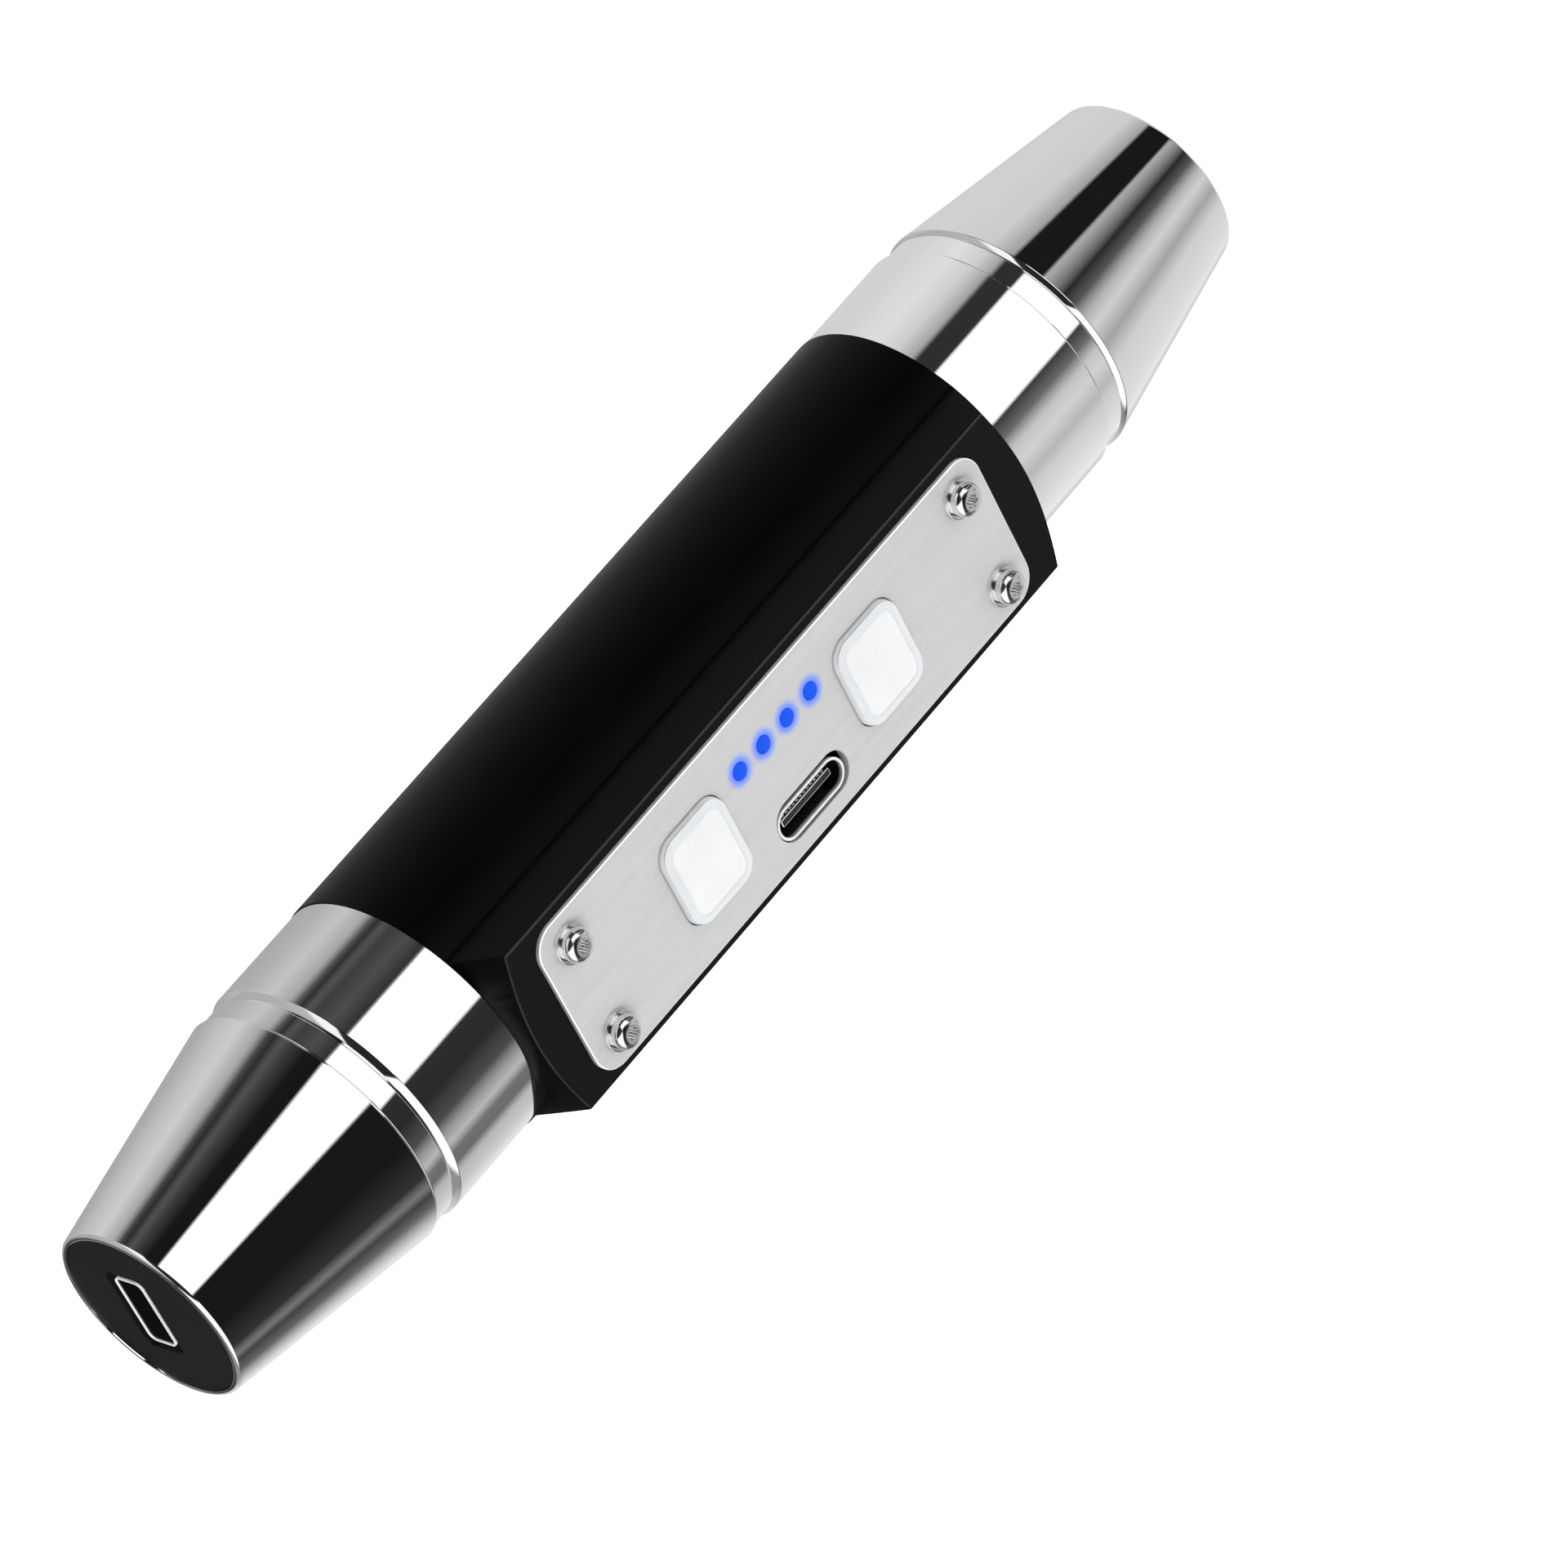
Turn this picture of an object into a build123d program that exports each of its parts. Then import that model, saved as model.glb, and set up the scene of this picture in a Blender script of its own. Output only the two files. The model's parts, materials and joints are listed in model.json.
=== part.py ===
from build123d import *
import os
from math import pi
from types import SimpleNamespace

# A double-ended UV curing lamp. It stands on its three-emitter end: Z runs up the lamp's
# axis from that rim, and the control plate faces -Y. Sizes are in millimetres.

# ---- overall sizes ----
body_length = 71.2       # black extruded body
body_r = 13.05
collar_length = 11.05    # chrome collar at each end of the body
collar_r = 12.95
band_length = 2.4        # slimmer land beside each parting line
band_r = 12.6
cone_length = 21.6       # tapered part of each head
cone_r = 12.85
tip_r = 9.2
parting_gap = 0.1        # fine line where a head meets its collar
lip_chamfer = 0.45       # bevel on the piece below each parting line
tip_chamfer = 0.4        # bevel round each rim

# ---- control side ----
boss_half_width = 9.0
boss_rise = 1.4          # how far the boss's flat stands outside the tube
boss_edge_round = 0.3
boss_root_round = 1.0
boss_end_slope = 1.78    # radius gained per millimetre along the turned boss ends
plate_length = 61.5
plate_width = 16.0
plate_thickness = 1.0
plate_corner_r = 2.5
plate_proud = 0.4        # how far the plate stands above the boss flat
plate_shift = 0.35       # the plate sits a little nearer the top collar
plate_clearance = 0.05
plate_edge_round = 0.15
screw_inset_x = 2.9      # from the plate's side edge to a screw
screw_inset_z = 3.4      # from the plate's end edge to a screw
screw_r = 1.0
screw_head_r = 1.55
screw_head_height = 1.25
screw_head_round = 0.75
screw_length = 6.0
screw_clearance = 0.05
washer_r = 1.85
washer_thickness = 0.4
washer_round = 0.13
socket_r = 0.5
socket_lobe_r = 0.2
socket_depth = 0.7
socket_lobes = 6

button_pitch = 24.4
button_width = 9.3       # across the lamp
button_length = 8.3      # along the lamp
button_corner_r = 2.0
button_proud = 0.6
button_top_round = 0.5
button_flange = 0.8
button_flange_thickness = 0.7
button_depth = 2.15      # cap height below the plate's outer face
button_travel = 0.5
button_gap = 0.12        # slot around each button
flange_gap = 0.05

light_pitch = 3.3        # four charge lights in a row
light_count = 4
light_x = 3.45
light_r = 0.8
light_gap = 0.04
light_proud = 0.05
light_bar_width = 2.2
light_bar_thickness = 1.1
chip_width = 0.8         # also the guide's foot width
chip_length = 1.6
chip_height = 0.6

usb_x = -4.5
usb_length = 8.94
usb_width = 3.16
usb_wall = 0.25
usb_board_reach = 0.05   # from the board's underside to the port's back
usb_slot_gap = 0.38      # the plate's slot is longer than the port
usb_slot_shift = 0.3
tongue_gap = 0.03
tongue_length = 6.7
tongue_thickness = 0.7
tongue_below_mouth = 0.6
tongue_base = 1.2
contact_count = 12
contact_pitch = 0.5
contact_width = 0.28
contact_length = 3.2
contact_thickness = 0.06

# ---- electronics bay and cell ----
bay_half_width = 7.0
ledge_width = 0.8
bay_end_wall = 2.75      # from a screw's centre to the bay's end
board_thickness = 0.8
board_gap = 0.1
board_to_cell = 0.2
switch_size = 6.0
switch_height = 2.8
plunger_r = 1.7
plunger_gap = 0.1
plunger_clear = 0.05     # from the cap's underside to the plunger
plunger_grip = 1.9       # plunger length inside the switch
cell_length = 65.0
cell_r = 9.2
wrap_thickness = 0.1
wrap_lip = 2.0
cap_r = 2.9
cap_height = 1.2
cap_round = 0.3
cell_shift = 1.0         # the cell lies off the axis, away from the control board
cell_clearance = 0.2

# ---- heads and collars ----
spigot_wall = 1.9        # threads are plain cylinders at their mean size
spigot_length = 4.6
spigot_bore_gap = 0.4    # room around the light module
thread_clearance = 0.05
spigot_end_gap = 0.2
body_spigot_r = 11.05
body_spigot_length = 5.0
pocket_r = 10.3          # room for the contact board and the cell's end
pocket_depth = 2.15
seal_wire_r = 0.55
seal_sunk = 0.6          # from the thread's surface in to the wire's centre
seal_inset = 1.05
seal_groove_width = 1.3
seal_groove_gap = 0.05
seat_r = 8.65            # bore at the tip, for the disc or the glass
seat_gap = 0.05
lip_r = 7.4
lip_thickness = 0.7
cavity_r = 8.35
module_r = 8.3
module_wall = 0.8
module_floor = 2.6
module_back = 24.0       # distance from the tip to the light module's open end
driver_thickness = 1.2
driver_inset = 0.2
round_board_thickness = 1.2
contact_board_thickness = 1.0
emitter_height = 0.6
module_spring_r = 3.6
cell_spring_r = 3.0
spring_wire_r = 0.3
spring_end_gap = 0.1
module_spring_turns = 5
cell_spring_turns = 2

# top end: black disc with a window over two emitters
disc_recess = 0.15
disc_thickness = 1.0
window_width = 8.8
window_height = 4.6
window_step = 0.3
window_corner_r = 0.8
frame_width = 7.6
frame_height = 3.4
frame_wall = 0.18
window_drop = 0.75       # the window sits below the disc's centre, away from the plate
window_gap = 0.03
window_glass_drop = 0.13 # from the frame's edge down to the glass
pair_pitch = 3.7
pair_emitter = 3.4
pair_dome_r = 1.5
tray_thickness = 2.2
tray_gap = 0.1

# bottom end: clear glass over a three-cup reflector
glass_recess = 0.6
glass_thickness = 1.2
glass_seal_thickness = 0.6
glass_seal_width = 0.5
trio_r = 2.25
trio_emitter = 2.8
trio_dome_r = 0.95
cup_depth = 4.1
cup_mouth_r = 3.9
cup_mouth_offset = 3.6
cup_throat_r = 1.2
cup_count = 3
cup_turn = 90            # the first cup points away from the plate

# ---- stations worked out from the sizes above ----
collar_start = cone_length + band_length + parting_gap
body_start = collar_start + collar_length
lamp_length = 2 * body_start + body_length
body_mid = lamp_length / 2
plate_mid = body_mid + plate_shift
boss_flat = body_r + boss_rise
plate_top = boss_flat + plate_proud
plate_under = plate_top - plate_thickness
screw_pitch_x = plate_width - 2 * screw_inset_x
screw_pitch_z = plate_length - 2 * screw_inset_z
bay_length = screw_pitch_z - 2 * bay_end_wall
cell_top = cell_r - cell_shift
board_under = cell_top + board_to_cell
board_top = board_under + board_thickness
usb_back = board_under - usb_board_reach
usb_depth = plate_top - usb_back
bore_r = cell_r + cell_clearance
cell_start = body_mid - cell_length / 2
can_length = cell_length - cap_height
contact_stop = body_start - pocket_depth
module_driver = module_back - driver_inset
spigot_bore_r = module_r + spigot_bore_gap
spigot_r = spigot_bore_r + spigot_wall
seal_mid_r = spigot_r - seal_sunk
seal_groove_r = seal_mid_r - seal_wire_r - seal_groove_gap

# ---- the two ends: stations are distances from the tip towards the lamp's middle ----
top = SimpleNamespace(
    name="top",
    tip=lamp_length,
    inward=-1,
    face=collar_start,
    skirt=collar_start - parting_gap,
    seat_depth=disc_recess + disc_thickness,
)
bottom = SimpleNamespace(
    name="bottom",
    tip=0,
    inward=1,
    face=cone_length + parting_gap,
    skirt=cone_length,
    seat_depth=glass_recess + glass_thickness + glass_seal_thickness,
)
top.emitter_front = top.seat_depth + lip_thickness + tray_gap + tray_thickness + tray_gap
bottom.emitter_front = bottom.seat_depth + lip_thickness + tray_gap + cup_depth + tray_gap
ends = (top, bottom)


def section(end):
    """The half-section plane of an end: x is the radius, y the distance from its tip."""
    return Plane(origin=(0, 0, end.tip), x_dir=(1, 0, 0), z_dir=(0, -end.inward, 0))


def across(end, station):
    """The plane across the axis at a station, facing the lamp's middle."""
    return Plane(
        origin=(0, 0, end.tip + end.inward * station), x_dir=(1, 0, 0), z_dir=(0, 0, end.inward)
    )


def front(height):
    """The plane parallel to the control plate at a height from the axis, facing outwards."""
    return Plane(origin=(0, -height, plate_mid), x_dir=(1, 0, 0), z_dir=(0, -1, 0))


def finish(piece, label):
    """Labels a finished piece and writes its file."""
    piece.part.label = label
    export_step(piece.part, f"parts/{label}.step")


os.makedirs("parts", exist_ok=True)

# ---- body: extruded tube and boss with turned ends, bored for the cell ----
with BuildPart() as body_tube:
    with BuildSketch(Plane.XY.offset(body_start)) as extrusion:
        Circle(body_r)
        with Locations((0, -boss_flat / 2)):
            Rectangle(2 * boss_half_width, boss_flat)
        corners = extrusion.vertices().group_by(Axis.Y)[0]
        fillet(corners, boss_edge_round)
        roots = extrusion.vertices().filter_by(
            lambda v: abs(abs(v.X) - boss_half_width) < 0.01 and v.Y > -boss_flat + 1
        )
        fillet(roots, boss_root_round)
    extrude(amount=body_length)
    # the ends are turned to a cone that leaves the tube at its full radius
    reach = boss_flat + boss_half_width
    cone_reach = (reach - body_r) / boss_end_slope
    with BuildSketch(Plane.XZ):
        with BuildLine():
            Polyline(
                (0, body_start),
                (body_r, body_start),
                (reach, body_start + cone_reach),
                (reach, body_start + body_length - cone_reach),
                (body_r, body_start + body_length),
                (0, body_start + body_length),
                close=True,
            )
        make_face()
    revolve(axis=Axis.Z, mode=Mode.INTERSECT)
    # cell bore, off the axis
    with BuildSketch(Plane.XY.offset(body_start)):
        with Locations((0, cell_shift)):
            Circle(bore_r)
    extrude(amount=body_length, mode=Mode.SUBTRACT)
    # counterbores for the collars' spigots
    for end in ends:
        with BuildSketch(across(end, body_start)):
            Circle(body_spigot_r + thread_clearance)
        extrude(amount=body_spigot_length + spigot_end_gap, mode=Mode.SUBTRACT)
    # plate recess, electronics bay with its two ledges
    with BuildSketch(front(plate_under)):
        RectangleRounded(
            plate_width + 2 * plate_clearance,
            plate_length + 2 * plate_clearance,
            plate_corner_r + plate_clearance,
        )
    extrude(amount=plate_thickness, mode=Mode.SUBTRACT)
    with BuildSketch(front(board_under)):
        Rectangle(2 * bay_half_width, bay_length)
    extrude(amount=plate_under - board_under, mode=Mode.SUBTRACT)
    with BuildSketch(front(0)):
        Rectangle(2 * (bay_half_width - ledge_width), bay_length)
    extrude(amount=board_under, mode=Mode.SUBTRACT)
    # tapped holes for the plate screws
    with BuildSketch(front(plate_under)):
        with GridLocations(screw_pitch_x, screw_pitch_z, 2, 2):
            Circle(screw_r + screw_clearance)
    extrude(amount=-(screw_length - plate_thickness), mode=Mode.SUBTRACT)
finish(body_tube, "body_tube")

# ---- control plate with its slots and holes ----
with BuildPart() as control_plate:
    with BuildSketch(front(plate_under)):
        RectangleRounded(plate_width, plate_length, plate_corner_r)
    extrude(amount=plate_thickness)
    fillet(control_plate.faces().sort_by(Axis.Y)[0].outer_wire().edges(), plate_edge_round)
    with BuildSketch(front(plate_under)):
        with GridLocations(screw_pitch_x, screw_pitch_z, 2, 2):
            Circle(screw_r + 2 * screw_clearance)
        with GridLocations(0, button_pitch, 1, 2):
            RectangleRounded(
                button_width + 2 * button_gap,
                button_length + 2 * button_gap,
                button_corner_r + button_gap,
            )
        with Locations((light_x, 0)):
            with GridLocations(0, light_pitch, 1, light_count):
                Circle(light_r + light_gap)
        with Locations((usb_x, -usb_slot_shift)):
            SlotOverall(
                usb_length + 2 * usb_slot_gap, usb_width + 2 * usb_slot_gap, rotation=90
            )
    extrude(amount=plate_thickness, mode=Mode.SUBTRACT)
finish(control_plate, "control_plate")

# ---- plate screws with six-lobe sockets, and their washers ----
head_seat = plate_top + washer_thickness
head_top = head_seat + screw_head_height
with BuildPart() as plate_screws:
    with BuildSketch(front(head_seat)):
        with GridLocations(screw_pitch_x, screw_pitch_z, 2, 2):
            Circle(screw_head_r)
    extrude(amount=screw_head_height)
    crowns = plate_screws.edges().filter_by(GeomType.CIRCLE).group_by(Axis.Y)[0]
    fillet(crowns, screw_head_round)
    with BuildSketch(front(head_seat)):
        with GridLocations(screw_pitch_x, screw_pitch_z, 2, 2):
            Circle(screw_r)
    extrude(amount=-(screw_length + washer_thickness - screw_clearance))
    with BuildSketch(front(head_top)):
        with GridLocations(screw_pitch_x, screw_pitch_z, 2, 2):
            Circle(socket_r)
            with PolarLocations(socket_r, socket_lobes):
                Circle(socket_lobe_r)
    extrude(amount=-socket_depth, mode=Mode.SUBTRACT)
finish(plate_screws, "plate_screws")

with BuildPart() as screw_washers:
    with BuildSketch(front(plate_top)):
        with GridLocations(screw_pitch_x, screw_pitch_z, 2, 2):
            Circle(washer_r)
            Circle(screw_r + screw_clearance, mode=Mode.SUBTRACT)
    extrude(amount=washer_thickness)
    rims = screw_washers.edges().filter_by(
        lambda e: e.geom_type == GeomType.CIRCLE and e.radius > washer_r - 0.01
    )
    fillet(rims.group_by(Axis.Y)[0], washer_round)
finish(screw_washers, "screw_washers")

# ---- buttons, each with the plunger of the switch below it ----
cap_under = plate_top - button_depth
switch_top = board_top + switch_height
plunger_length = cap_under - plunger_clear - switch_top + plunger_grip
for name, side in (("top", 1), ("bottom", -1)):
    with BuildPart() as button:
        with BuildSketch(front(cap_under)):
            with Locations((0, side * button_pitch / 2)):
                RectangleRounded(button_width, button_length, button_corner_r)
        extrude(amount=button_depth + button_proud)
        fillet(button.faces().sort_by(Axis.Y)[0].edges(), button_top_round)
        with BuildSketch(front(plate_under - flange_gap)):
            with Locations((0, side * button_pitch / 2)):
                RectangleRounded(
                    button_width + 2 * button_flange,
                    button_length + 2 * button_flange,
                    button_corner_r,
                )
        extrude(amount=-button_flange_thickness)
    finish(button, f"{name}_button")

    with BuildPart() as plunger:
        with BuildSketch(front(cap_under - plunger_clear)):
            with Locations((0, side * button_pitch / 2)):
                Circle(plunger_r)
        extrude(amount=-plunger_length)
    finish(plunger, f"{name}_switch_plunger")

plunger_well = plunger_length + plunger_clear + switch_top - cap_under + button_travel
with BuildPart() as button_switches:
    with BuildSketch(front(board_top)):
        with GridLocations(0, button_pitch, 1, 2):
            Rectangle(switch_size, switch_size)
    extrude(amount=switch_height)
    with BuildSketch(front(switch_top)):
        with GridLocations(0, button_pitch, 1, 2):
            Circle(plunger_r + plunger_gap)
    extrude(amount=-(plunger_well + plunger_gap), mode=Mode.SUBTRACT)
finish(button_switches, "button_switches")

# ---- control board, charge lights and their light guide ----
with BuildPart() as control_board:
    with BuildSketch(front(board_under)):
        Rectangle(2 * (bay_half_width - board_gap), bay_length - 2 * board_gap)
        with Locations((usb_x, 0)):
            SlotOverall(
                usb_length + 2 * board_gap,
                usb_width + 2 * board_gap,
                rotation=90,
                mode=Mode.SUBTRACT,
            )
    extrude(amount=board_thickness)
finish(control_board, "control_board")

with BuildPart() as indicator_leds:
    with BuildSketch(front(board_top)):
        with Locations((light_x, 0)):
            with GridLocations(0, light_pitch, 1, light_count):
                Rectangle(chip_width, chip_length)
    extrude(amount=chip_height)
finish(indicator_leds, "indicator_leds")

guide_top = plate_under - flange_gap
with BuildPart() as light_guide:
    with BuildSketch(front(guide_top)):
        with Locations((light_x, 0)):
            Rectangle(light_bar_width, light_pitch * light_count)
    extrude(amount=-light_bar_thickness)
    with BuildSketch(front(guide_top - light_bar_thickness)):
        with Locations((light_x, 0)):
            with GridLocations(0, light_pitch, 1, light_count):
                Circle(light_r)
    extrude(amount=light_bar_thickness + flange_gap + plate_thickness + light_proud)
    # a foot at each end of the bar stands on the board
    with BuildSketch(front(board_top)):
        with Locations((light_x, 0)):
            with GridLocations(0, light_pitch * light_count - chip_width, 1, 2):
                Rectangle(light_bar_width, chip_width)
    extrude(amount=guide_top - light_bar_thickness - board_top)
finish(light_guide, "light_guide")

# ---- charging port: steel shell, plastic tongue and its contacts ----
with BuildPart() as usb_shell:
    with BuildSketch(front(usb_back)):
        with Locations((usb_x, 0)):
            SlotOverall(usb_length, usb_width, rotation=90)
    extrude(amount=usb_depth)
    with BuildSketch(front(plate_top)):
        with Locations((usb_x, 0)):
            SlotOverall(usb_length - 2 * usb_wall, usb_width - 2 * usb_wall, rotation=90)
    extrude(amount=-(usb_depth - usb_wall), mode=Mode.SUBTRACT)
finish(usb_shell, "usb_shell")

base_under = usb_back + usb_wall
tongue_tip = plate_top - tongue_below_mouth
with BuildPart() as usb_tongue:
    with BuildSketch(front(base_under)):
        with Locations((usb_x, 0)):
            SlotOverall(
                usb_length - 2 * usb_wall - 2 * tongue_gap,
                usb_width - 2 * usb_wall - 2 * tongue_gap,
                rotation=90,
            )
    extrude(amount=tongue_base)
    with BuildSketch(front(base_under + tongue_base)):
        with Locations((usb_x, 0)):
            Rectangle(tongue_thickness, tongue_length)
    extrude(amount=tongue_tip - base_under - tongue_base)
finish(usb_tongue, "usb_tongue")

with BuildPart() as usb_contacts:
    with BuildSketch(front(tongue_tip - usb_wall)):
        with Locations((usb_x, 0)):
            with GridLocations(
                tongue_thickness + contact_thickness, contact_pitch, 2, contact_count
            ):
                Rectangle(contact_thickness, contact_width)
    extrude(amount=-contact_length)
finish(usb_contacts, "usb_contacts")

# ---- cell: steel can, top cap and shrink wrap ----
can_r = cell_r - wrap_thickness
with BuildPart() as battery_can:
    with BuildSketch(Plane.XY.offset(cell_start + wrap_thickness)):
        with Locations((0, cell_shift)):
            Circle(can_r)
    extrude(amount=can_length - 2 * wrap_thickness)
    fillet(battery_can.edges().filter_by(GeomType.CIRCLE), 2 * wrap_thickness)
finish(battery_can, "battery_can")

with BuildPart() as battery_cap:
    with BuildSketch(Plane.XY.offset(cell_start + can_length - wrap_thickness)):
        with Locations((0, cell_shift)):
            Circle(cap_r)
    extrude(amount=cap_height + wrap_thickness)
    fillet(battery_cap.edges().group_by(Axis.Z)[-1], cap_round)
finish(battery_cap, "battery_cap")

with BuildPart() as battery_wrap:
    with BuildSketch(Plane.XY.offset(cell_start)):
        with Locations((0, cell_shift)):
            Circle(cell_r)
    extrude(amount=can_length)
    with BuildSketch(Plane.XY.offset(cell_start + wrap_thickness)):
        with Locations((0, cell_shift)):
            Circle(can_r)
    extrude(amount=can_length - 2 * wrap_thickness, mode=Mode.SUBTRACT)
    with BuildSketch(Plane.XY.offset(cell_start)):
        with Locations((0, cell_shift)):
            Circle(can_r - wrap_lip)
    extrude(amount=can_length, mode=Mode.SUBTRACT)
finish(battery_wrap, "battery_wrap")

# ---- pieces that both ends have ----
for end in ends:
    band_on_head = end is top
    spigot_end = end.face - spigot_length
    lip_end = end.seat_depth + lip_thickness
    thread_bore_r = spigot_r + thread_clearance

    # collar: spigot for the head, outer ring, spigot into the body
    with BuildPart() as collar:
        with BuildSketch(section(end)) as profile:
            with BuildLine():
                if band_on_head:
                    ring = [
                        (collar_r - lip_chamfer, end.face),
                        (collar_r, end.face + lip_chamfer),
                    ]
                else:
                    ring = [
                        (band_r, end.face),
                        (band_r, collar_start),
                        (collar_r, collar_start),
                    ]
                Polyline(
                    (spigot_bore_r, spigot_end),
                    (spigot_r, spigot_end),
                    (spigot_r, end.face),
                    *ring,
                    (collar_r, body_start),
                    (body_spigot_r, body_start),
                    (body_spigot_r, body_start + body_spigot_length),
                    (pocket_r, body_start + body_spigot_length),
                    (pocket_r, contact_stop),
                    (spigot_bore_r, contact_stop),
                    close=True,
                )
            make_face()
            with BuildLine():
                groove_mid = end.face - seal_inset
                Polyline(
                    (seal_groove_r, groove_mid - seal_groove_width / 2),
                    (spigot_r, groove_mid - seal_groove_width / 2),
                    (spigot_r, groove_mid + seal_groove_width / 2),
                    (seal_groove_r, groove_mid + seal_groove_width / 2),
                    close=True,
                )
            make_face(mode=Mode.SUBTRACT)
        revolve(axis=Axis.Z)
    finish(collar, f"{end.name}_collar")

    with BuildPart() as seal_ring:
        with BuildSketch(section(end)):
            with Locations((seal_mid_r, end.face - seal_inset)):
                Circle(seal_wire_r)
        revolve(axis=Axis.Z)
    finish(seal_ring, f"{end.name}_seal_ring")

    # head: tapered chrome shell, bored for the light module and the thread
    with BuildPart() as head:
        with BuildSketch(section(end)) as profile:
            with BuildLine():
                if band_on_head:
                    skirt = [
                        (cone_r, cone_length),
                        (band_r, cone_length),
                        (band_r, end.skirt),
                    ]
                else:
                    skirt = [
                        (cone_r, cone_length - lip_chamfer),
                        (cone_r - lip_chamfer, cone_length),
                    ]
                Polyline(
                    (seat_r, 0),
                    (tip_r, 0),
                    *skirt,
                    (thread_bore_r, end.skirt),
                    (thread_bore_r, spigot_end - spigot_end_gap),
                    (cavity_r, spigot_end - spigot_end_gap),
                    (cavity_r, lip_end),
                    (lip_r, lip_end),
                    (lip_r, end.seat_depth),
                    (seat_r, end.seat_depth),
                    close=True,
                )
            make_face()
            chamfer(profile.vertices().sort_by_distance((tip_r, 0))[0], tip_chamfer)
        revolve(axis=Axis.Z)
    finish(head, f"{end.name}_head")

    # light module: emitter board, heat sink, driver board and spring
    board_front = end.emitter_front + emitter_height
    sink_front = board_front + round_board_thickness
    with BuildPart() as led_board:
        with BuildSketch(across(end, board_front)):
            Circle(module_r - seat_gap)
        extrude(amount=round_board_thickness)
    finish(led_board, f"{end.name}_led_board")

    with BuildPart() as heat_sink:
        with BuildSketch(across(end, sink_front)):
            Circle(module_r)
        extrude(amount=module_back - sink_front)
        with BuildSketch(across(end, sink_front + module_floor)):
            Circle(module_r - module_wall)
        extrude(amount=module_back - sink_front - module_floor, mode=Mode.SUBTRACT)
    finish(heat_sink, f"{end.name}_heat_sink")

    with BuildPart() as driver_board:
        with BuildSketch(across(end, module_driver - driver_thickness)):
            Circle(module_r - module_wall - seat_gap)
        extrude(amount=driver_thickness)
    finish(driver_board, f"{end.name}_driver_board")

    spring_start = module_driver + spring_end_gap + spring_wire_r
    spring_stop = contact_stop - spring_end_gap - spring_wire_r
    with BuildPart() as module_spring:
        with BuildLine() as coil:
            Helix(
                pitch=(spring_stop - spring_start) / module_spring_turns,
                height=spring_stop - spring_start,
                radius=module_spring_r,
                center=across(end, spring_start).origin,
                direction=(0, 0, end.inward),
            )
        with BuildSketch(Plane(origin=coil.line @ 0, z_dir=coil.line % 0)):
            Circle(spring_wire_r)
        sweep(is_frenet=True)
    finish(module_spring, f"{end.name}_module_spring")

    # contact board against the collar's shoulder, and the spring that meets the cell
    with BuildPart() as contact_board:
        with BuildSketch(across(end, contact_stop)):
            Circle(pocket_r - seat_gap)
        extrude(amount=contact_board_thickness)
    finish(contact_board, f"{end.name}_contact_board")

    cell_end = cell_start if end is bottom else lamp_length - cell_start - cell_length
    coil_start = contact_stop + contact_board_thickness + spring_end_gap + spring_wire_r
    coil_stop = cell_end - spring_end_gap - spring_wire_r
    with BuildPart() as cell_spring:
        with BuildLine() as coil:
            Helix(
                pitch=(coil_stop - coil_start) / cell_spring_turns,
                height=coil_stop - coil_start,
                radius=cell_spring_r,
                center=across(end, coil_start).origin,
                direction=(0, 0, end.inward),
            )
        with BuildSketch(Plane(origin=coil.line @ 0, z_dir=coil.line % 0)):
            Circle(spring_wire_r)
        sweep(is_frenet=True)
    finish(cell_spring, f"{end.name}_cell_spring")

# ---- top end: black disc, window, tray and a pair of emitters ----
with BuildPart() as end_disc:
    with BuildSketch(across(top, disc_recess)):
        Circle(seat_r - seat_gap)
    extrude(amount=disc_thickness)
    with BuildSketch(across(top, disc_recess)):
        with Locations((0, -window_drop)):
            RectangleRounded(window_width, window_height, window_corner_r)
    extrude(amount=window_step, mode=Mode.SUBTRACT)
    with BuildSketch(across(top, disc_recess)):
        with Locations((0, -window_drop)):
            RectangleRounded(frame_width, frame_height, window_corner_r)
    extrude(amount=disc_thickness, mode=Mode.SUBTRACT)
finish(end_disc, "end_disc")

frame_front = disc_recess + window_step - frame_wall
with BuildPart() as window_frame:
    with BuildSketch(across(top, frame_front)):
        with Locations((0, -window_drop)):
            RectangleRounded(
                frame_width - 2 * window_gap,
                frame_height - 2 * window_gap,
                window_corner_r - window_gap,
            )
            RectangleRounded(
                frame_width - 2 * frame_wall,
                frame_height - 2 * frame_wall,
                window_corner_r - frame_wall,
                mode=Mode.SUBTRACT,
            )
    extrude(amount=top.seat_depth - frame_front)
finish(window_frame, "window_frame")

glass_front = frame_front + window_glass_drop
with BuildPart() as window_glass:
    with BuildSketch(across(top, glass_front)):
        with Locations((0, -window_drop)):
            RectangleRounded(
                frame_width - 2 * frame_wall - 2 * window_gap,
                frame_height - 2 * frame_wall - 2 * window_gap,
                window_corner_r - frame_wall - window_gap,
            )
    extrude(amount=top.seat_depth - glass_front)
finish(window_glass, "window_glass")

with BuildPart() as window_tray:
    with BuildSketch(across(top, top.seat_depth + lip_thickness + tray_gap)):
        Circle(module_r)
        with Locations((0, -window_drop)):
            RectangleRounded(
                window_width, window_height, window_corner_r, mode=Mode.SUBTRACT
            )
    extrude(amount=tray_thickness)
finish(window_tray, "window_tray")

with BuildPart() as top_emitters:
    with BuildSketch(across(top, top.emitter_front)):
        with Locations((0, -window_drop)):
            with GridLocations(pair_pitch, 0, 2, 1):
                Rectangle(pair_emitter, pair_emitter)
    extrude(amount=emitter_height)
finish(top_emitters, "top_emitters")

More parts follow.
